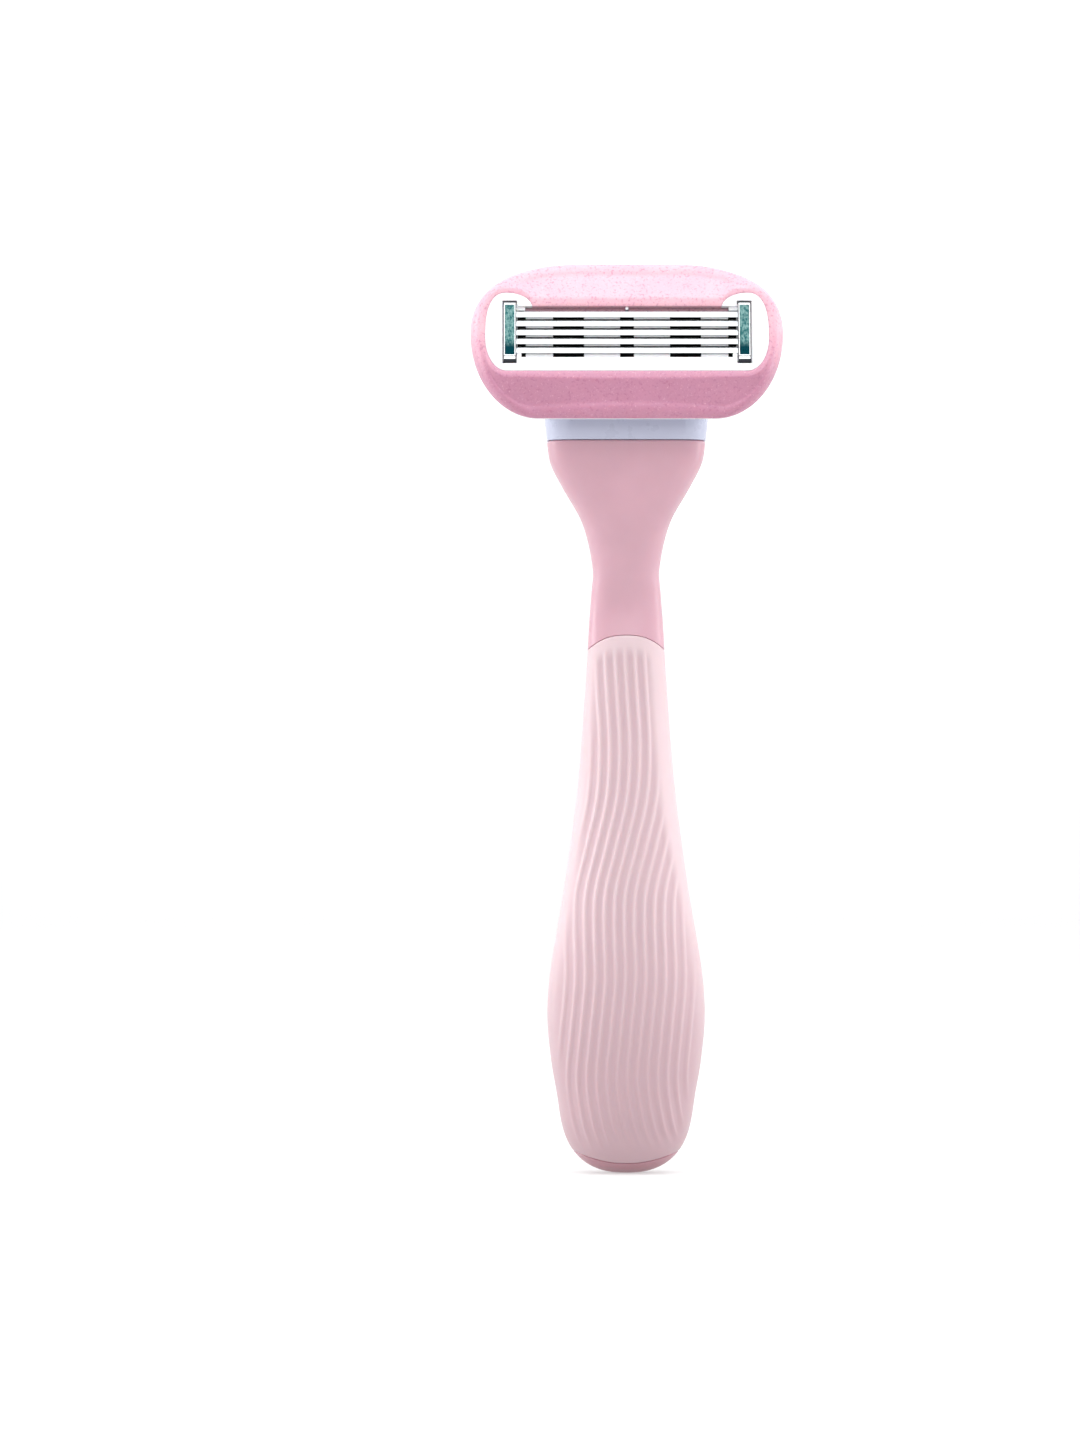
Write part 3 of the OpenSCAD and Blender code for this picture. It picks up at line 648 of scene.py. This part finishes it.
class Material:
    """A node material. Inputs are values, or the output sockets of other nodes."""

    def __init__(self, name, **constants):
        self.data = bpy.data.materials.new(name)
        self.data.use_nodes = True
        self.tree = self.data.node_tree
        self.shader = self.tree.nodes["Principled BSDF"]
        self.place = self.add("ShaderNodeTexCoord").outputs["Object"]
        self.set(self.shader, **constants)

    def add(self, kind, props=None, **inputs):
        node = self.tree.nodes.new(kind)
        for key, value in (props or {}).items():
            setattr(node, key, value)
        return self.set(node, **inputs)

    def set(self, node, **inputs):
        for key, value in inputs.items():
            name = key.replace("_", " ")
            socket = next(s for s in node.inputs if s.name == name and s.enabled)
            feed(self.tree, socket, value)
        return node

    def noise(self, size_mm, detail=2.0, stretch=(1, 1, 1)):
        """Noise whose features are about size_mm across."""
        place = self.add("ShaderNodeMapping", Vector=self.place, Scale=stretch).outputs[0]
        return self.add(
            "ShaderNodeTexNoise", Vector=place, Scale=1 / (size_mm * MM), Detail=detail
        ).outputs["Fac"]

    def remap(self, value, from_low, from_high, to_low, to_high):
        return self.add(
            "ShaderNodeMapRange", Value=value, From_Min=from_low, From_Max=from_high,
            To_Min=to_low, To_Max=to_high,
        ).outputs[0]

    def mix(self, amount, a, b):
        node = self.add("ShaderNodeMix", {"data_type": "RGBA"})
        sockets = [s for s in node.inputs if s.enabled]
        for socket, value in zip(sockets, (amount, a, b)):
            feed(self.tree, socket, value)
        return next(s for s in node.outputs if s.enabled)

    def height(self):
        """Height on the object at rest, in metres."""
        return self.add("ShaderNodeSeparateXYZ", Vector=self.place).outputs["Z"]

    def bump(self, height, distance_mm, strength=1.0, under=None):
        node = self.add(
            "ShaderNodeBump", Height=height, Distance=distance_mm * MM, Strength=strength
        )
        if under is not None:
            self.tree.links.new(under, node.inputs["Normal"])
        return node.outputs[0]


# Heights between which painted shade darkens the hard pink at the tip that the razor stands on
TIP_SHADE = (0.001, 0.007)


def moulded(name, colour, roughness, grain_mm, grain_depth_mm, shade=0.06, foot=None,
            **constants):
    """Moulded plastic: a little uneven in colour and gloss, with a fine tool grain. The colour
    foot, where there is one, is painted shade that takes over at the tip."""
    m = Material(name, **constants)
    cloud = m.noise(9, 3)
    dark = tuple(c * (1 - shade) for c in colour[:3]) + (1,)
    shown = m.mix(m.remap(cloud, 0.35, 0.65, 0, 1), dark, colour)
    if foot:
        # Painted shade: the foot colour takes over at the tip
        shown = m.mix(m.remap(m.height(), *TIP_SHADE, 1, 0), shown, foot)
    m.set(m.shader, Base_Color=shown)
    patch = m.noise(2.2, 4)
    m.set(m.shader, Roughness=m.remap(patch, 0.3, 0.7, roughness - 0.05, roughness + 0.05))
    m.set(m.shader, Normal=m.bump(m.noise(grain_mm, 2), grain_depth_mm))
    return m


def hard_pink():
    # The foot colour is painted shade for the tip that the razor stands on
    return moulded("hard_pink_plastic", srgb(201, 158, 171), 0.36, 0.16, 0.004,
                   foot=srgb(168, 122, 132), IOR=1.5, Subsurface_Weight=0.12,
                   Subsurface_Scale=0.001).data


def button_pink():
    return moulded("button_pink_plastic", srgb(209, 156, 172), 0.34, 0.2, 0.004, IOR=1.5).data


# Heights between which painted shade darkens the grip towards the tip
GRIP_SHADE = (0.012, 0.045)


def soft_pink():
    """Matte rubber: paler on its crests, darker in its grooves, and darker towards the tip as
    painted shade.
    """
    m = Material("soft_pink_rubber", IOR=1.48, Sheen_Weight=0.12, Sheen_Roughness=0.5,
                 Subsurface_Weight=0.1, Subsurface_Scale=0.001)
    crest = m.add("ShaderNodeAttribute", {"attribute_name": "crest"}).outputs["Fac"]
    colour = m.mix(crest, srgb(191, 163, 170), srgb(210, 187, 192))
    cloud = m.remap(m.noise(14, 3), 0.35, 0.65, 0, 0.35)
    colour = m.mix(cloud, colour, srgb(199, 174, 179))
    # Painted shade darkens the rubber towards the tip
    tip_shade = m.remap(m.height(), *GRIP_SHADE, 1, 0)
    m.set(m.shader, Base_Color=m.mix(tip_shade, colour, srgb(184, 155, 162)))
    m.set(m.shader, Roughness=m.remap(m.noise(1.5, 4), 0.3, 0.7, 0.52, 0.66))
    m.set(m.shader, Normal=m.bump(m.noise(0.12, 3), 0.006))
    return m.data


# Heights between which the ring's colour grows paler towards its upper bar, as painted light from
# above and painted shade on the lower bar
RING_LIGHT = tuple(on_face(0, h, 0)[0][2] * MM for h in (-7, 1.5))


def waxy_pink():
    """Waxy, slightly lumpy skin with fine dark and pale specks, paler towards its upper bar as
    painted light and deeper on its lower bar as painted shade.
    """
    m = Material("lubricating_pink", IOR=1.5, Specular_IOR_Level=0.7, Sheen_Weight=0.15,
                 Sheen_Roughness=0.4, Subsurface_Weight=0.15, Subsurface_Scale=0.0012)
    # Painted light and shade: pale on the upper bar, deeper pink on the lower one
    top_light = m.remap(m.height(), *RING_LIGHT, 0, 1)
    base = m.mix(top_light, srgb(186, 125, 151), srgb(223, 172, 185))
    cloud = m.remap(m.noise(5, 3), 0.35, 0.65, 0, 0.25)
    base = m.mix(cloud, base, srgb(206, 140, 168))
    dark = m.remap(m.noise(0.42, 4), 0.53, 0.7, 0, 0.6)
    pale = m.remap(m.noise(0.3, 3), 0.6, 0.75, 0, 0.28)
    specks = m.mix(dark, base, srgb(168, 98, 130))
    m.set(m.shader, Base_Color=m.mix(pale, specks, srgb(250, 214, 228)))
    m.set(m.shader, Roughness=m.remap(m.noise(0.8, 4), 0.3, 0.7, 0.34, 0.54))
    lumps = m.bump(m.noise(1.6, 3), 0.03)
    m.set(m.shader, Normal=m.bump(m.noise(0.25, 3), 0.012, under=lumps))
    return m.data


def white_moulding(name):
    return moulded(name, srgb(234, 233, 236), 0.3, 0.3, 0.003, 0.03,
                   IOR=1.5, Subsurface_Weight=0.1, Subsurface_Scale=0.001)


def white_plastic():
    return white_moulding("white_plastic").data


# Depths between which painted shade darkens the housing below its ribs' fronts, and between which
# it turns white again just past the blade slot's floor. The ring and its carrier hide the
# housing's own sides at those depths
SHADE_TOP, SHADE_FLOOR = (-1.15, -0.88), (-4.4, -4.34)


def housing_plastic():
    """White plastic with painted shade in the blade slot, for the black gaps between the blades.
    """
    m = white_moulding("housing_plastic")
    out = m.add("ShaderNodeVectorMath", {"operation": "DOT_PRODUCT"}, Vector=m.place)
    out.inputs[1].default_value = OUT_FACE
    face = float(FACE @ OUT_FACE)
    inside_slot, above_floor = (
        m.remap(out.outputs["Value"], *((face + n) * MM for n in span), *ends)
        for span, ends in ((SHADE_TOP, (1, 0)), (SHADE_FLOOR, (0, 1)))
    )
    shown = m.shader.inputs["Base Color"].links[0].from_socket
    # Painted shade inside the blade slot
    dark = m.mix(above_floor, shown, srgb(38, 34, 36))
    m.set(m.shader, Base_Color=m.mix(inside_slot, shown, dark))
    return m.data


def lavender_plastic():
    return moulded("lavender_plastic", srgb(193, 197, 217), 0.3, 0.2, 0.003, 0.05, IOR=1.5).data


def inner_plastic():
    return moulded("inner_plastic", srgb(214, 213, 224), 0.42, 0.25, 0.006, IOR=1.5).data


# Heights between which the clips' teal film fades from a darker painted reflection at its lower
# end
CLIP_DARK = tuple(on_face(0, h, 0.5)[0][2] * MM for h in (-2.1, -0.9))


def brushed(name, colour, roughness, along=(0.03, 1, 1), scratch_mm=0.05, depth_mm=0.002):
    """Metal with fine scratches along one direction."""
    m = Material(name, Metallic=1.0)
    lines = m.noise(scratch_mm, 3, along)
    dark = tuple(c * 0.8 for c in colour[:3]) + (1,)
    m.set(m.shader, Base_Color=m.mix(m.remap(lines, 0.35, 0.65, 0, 1), dark, colour))
    m.set(m.shader, Roughness=m.remap(lines, 0.3, 0.7, roughness - 0.06, roughness + 0.08))
    m.set(m.shader, Normal=m.bump(lines, depth_mm))
    return m


def blade_steel():
    return brushed("blade_steel", srgb(188, 192, 195), 0.28).data


# Steel of the blade supports, darkened as painted shade so the gaps between the blades look black
def support_steel():
    return brushed("support_steel", srgb(76, 80, 84), 0.36).data


def clip_metal():
    """Bright metal with painted shadow lines at its edges and bends, and a teal film in the sunk
    panel, its mottle partly painted reflection and darker low down as painted reflection.
    """
    m = Material("clip_metal", Metallic=1.0)
    tint = m.add("ShaderNodeAttribute", {"attribute_name": "tint"}).outputs["Fac"]
    # The film's own teal, its mottle partly painted reflection of a wavy surface
    patches = m.remap(m.noise(0.55, 4, (1.6, 1, 1)), 0.38, 0.62, 0, 1)
    film = m.mix(patches, srgb(44, 92, 94), srgb(112, 146, 144))
    # Painted reflection: the film darkens towards the clip's lower end
    foot = m.remap(m.height(), *CLIP_DARK, 1, 0)
    film = m.mix(foot, film, srgb(8, 52, 60))
    # Painted shadow lines along the clip's edges, in its groove and over its bends
    line = m.add("ShaderNodeAttribute", {"attribute_name": "line"}).outputs["Fac"]
    rim = m.mix(line, srgb(240, 240, 242), srgb(58, 60, 66))
    m.set(m.shader, Base_Color=m.mix(tint, rim, film))
    lines = m.noise(0.04, 3, (1, 0.05, 0.05))
    m.set(m.shader, Roughness=m.remap(lines, 0.3, 0.7, 0.24, 0.4))
    waves = m.bump(m.noise(0.5, 3), 0.02)
    m.set(m.shader, Normal=m.bump(lines, 0.002, under=waves))
    return m.data


def spring_steel():
    return brushed("spring_steel", srgb(190, 191, 196), 0.25, (1, 1, 1), 0.3).data


# ---------------------------------------------------------------- kept CAD nodes
WELD_MM, FLAT_DEGREES, SHARP_DEGREES = 0.002, 0.6, 32


def finish_node(name, material, bevel_mm=0.0):
    """Welds, rounds and smooths a kept CAD node with modifiers, and gives it its material."""
    obj = nodes[name]
    obj.data.materials.clear()
    obj.data.materials.append(material)
    weld = obj.modifiers.new("weld", "WELD")
    weld.merge_threshold = WELD_MM * MM
    if bevel_mm:
        flat = obj.modifiers.new("flat", "DECIMATE")
        flat.decimate_type = "DISSOLVE"
        flat.angle_limit = math.radians(FLAT_DEGREES)
        bevel = obj.modifiers.new("edges", "BEVEL")
        bevel.width = bevel_mm * MM
        bevel.segments = 3
        bevel.limit_method = "ANGLE"
        bevel.angle_limit = math.radians(SHARP_DEGREES)
        bevel.use_clamp_overlap = True
        bevel.harden_normals = False
    obj.data.polygons.foreach_set("use_smooth", [True] * len(obj.data.polygons))
    split = obj.modifiers.new("split", "EDGE_SPLIT")
    split.split_angle = math.radians(SHARP_DEGREES)
    split.use_edge_sharp = False


def place(piece, body, material, slot, *stands_for):
    """Puts a new piece on its body in place of CAD nodes."""
    piece.data.materials.clear()
    piece.data.materials.append(material)
    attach(piece, body)
    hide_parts(*stands_for)


hard = hard_pink()
white = white_plastic()
inside = inner_plastic()
lavender = lavender_plastic()
steel = blade_steel()
supports = support_steel()
clips = clip_metal()
spring = spring_steel()

place(front_shell(), "handle", hard, "hard_pink_plastic", "handle_front_shell")
place(rear_shell(), "handle", hard, "hard_pink_plastic", "handle_rear_shell")
place(grip(), "handle", soft_pink(), "soft_pink_rubber", "grip_sleeve")
place(lube_ring(), "cartridge", waxy_pink(), "lubricating_pink", "lube_ring")
place(ring_carrier(), "cartridge", white, "white_plastic", "ring_carrier")

finish_node("dock_frame", inside, 0.15)
finish_node("plunger", white, 0.12)
finish_node("ejector_fork", inside, 0.1)
finish_node("release_button", button_pink(), 0.12)
finish_node("connector_yoke", lavender, 0.15)
finish_node("blade_housing", housing_plastic(), 0.08)
for side in ("left", "right"):
    place(metal_clip(side), "cartridge", clips, "clip_metal", "clip_" + side)
for number in range(1, 6):
    finish_node(f"blade_{number}", steel)
    finish_node(f"blade_support_{number}", supports)
finish_node("plunger_spring", spring)
finish_node("button_spring", spring)
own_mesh(nodes["plunger_spring"])
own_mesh(nodes["button_spring"])


# ---------------------------------------------------------------- stage, light and camera
# The floor in metres, and how its glow grows with height up the wall
FLOOR_HALF, FLOOR_FRONT, WALL_BACK, WALL_RISE, SWEEP = 3.0, -0.4, 1.6, 3.0, 0.8
GLOW_RISE, GLOW = 0.3, (0.5, 1.1)
FLOOR_GREY = 0.35
# The razor's middle, and the camera in millimetres: frame height, distance and aim
MIDDLE_M = (0, 0, 0.075)
FRAME_HEIGHT, CAMERA_DISTANCE, CAMERA_X, CAMERA_Z = 230.4, 900, -13.76, 72.3
SENSOR = 36


def stage():
    """A pale floor that sweeps up into a wall behind."""
    start = WALL_BACK - SWEEP
    profile = [(FLOOR_FRONT, 0.0), (start, 0.0)]
    profile += [(start + SWEEP * math.sin(t), SWEEP - SWEEP * math.cos(t))
                for t in np.linspace(0, math.pi / 2, 13)[1:]]
    profile.append((WALL_BACK, WALL_RISE))
    points = [(x, y, z) for y, z in profile for x in (-FLOOR_HALF, FLOOR_HALF)]
    faces = [(2 * i, 2 * i + 1, 2 * i + 3, 2 * i + 2) for i in range(len(profile) - 1)]
    obj = mesh_object("floor", np.array(points) / MM, faces)
    m = Material("pale_floor", Base_Color=(FLOOR_GREY, FLOOR_GREY, FLOOR_GREY, 1), Roughness=0.8,
                 Emission_Color=(1, 1, 1, 1))
    m.set(m.shader, Emission_Strength=m.remap(m.height(), 0, GLOW_RISE, *GLOW))
    obj.data.materials.append(m.data)


def area_light(name, place_m, size, power):
    """A soft rectangular light aimed at the razor's middle."""
    light = bpy.data.lights.new(name, "AREA")
    light.shape = "RECTANGLE"
    light.size, light.size_y = size
    light.energy = power
    obj = bpy.data.objects.new(name, light)
    obj.location = place_m
    aim = np.array(MIDDLE_M) - np.array(place_m)
    obj.rotation_euler = Vector(aim).to_track_quat("-Z", "Y").to_euler()
    scene.collection.objects.link(obj)


def world(base, sides, above):
    """A white tent, brighter at the sides and above than in front."""
    data = bpy.data.worlds.new("studio")
    data.use_nodes = True
    tree = data.node_tree
    direction = tree.nodes.new("ShaderNodeTexCoord").outputs["Generated"]
    split = tree.nodes.new("ShaderNodeSeparateXYZ")
    tree.links.new(direction, split.inputs[0])

    def math_node(operation, a, b, c=0.0):
        node = tree.nodes.new("ShaderNodeMath")
        node.operation = operation
        for socket, value in zip(node.inputs, (a, b, c)):
            feed(tree, socket, value)
        return node.outputs[0]

    x, _, z = split.outputs
    across = math_node("MULTIPLY", math_node("MULTIPLY", x, x), sides)
    up = math_node("MAXIMUM", z, 0.0)
    total = math_node("ADD", math_node("MULTIPLY_ADD", up, above, base), across)
    tree.links.new(total, tree.nodes["Background"].inputs["Strength"])
    tree.nodes["Background"].inputs["Color"].default_value = (1, 1, 1, 1)
    scene.world = data


def camera():
    """Level, straight on, with the razor right of the middle of the frame."""
    data = bpy.data.cameras.new("camera")
    data.sensor_fit = "VERTICAL"
    data.sensor_height = SENSOR
    data.lens = SENSOR * CAMERA_DISTANCE / FRAME_HEIGHT
    data.clip_end = 20
    obj = bpy.data.objects.new("camera", data)
    obj.location = (CAMERA_X * MM, (PART_Y - CAMERA_DISTANCE) * MM, CAMERA_Z * MM)
    obj.rotation_euler = (math.pi / 2, 0, 0)
    scene.collection.objects.link(obj)
    scene.camera = obj


stage()
world(0.24, 0.6, 0.45)
area_light("key", (0, -0.25, 0.85), (1.3, 0.9), 9.8)
area_light("front", (0, -1, 0.5), (0.7, 0.4), 2.2)
area_light("left", (-0.7, 0.05, 0.22), (0.3, 0.6), 2.7)
area_light("right", (0.7, 0.05, 0.22), (0.3, 0.6), 2.1)
camera()
scene.view_settings.view_transform = "Standard"
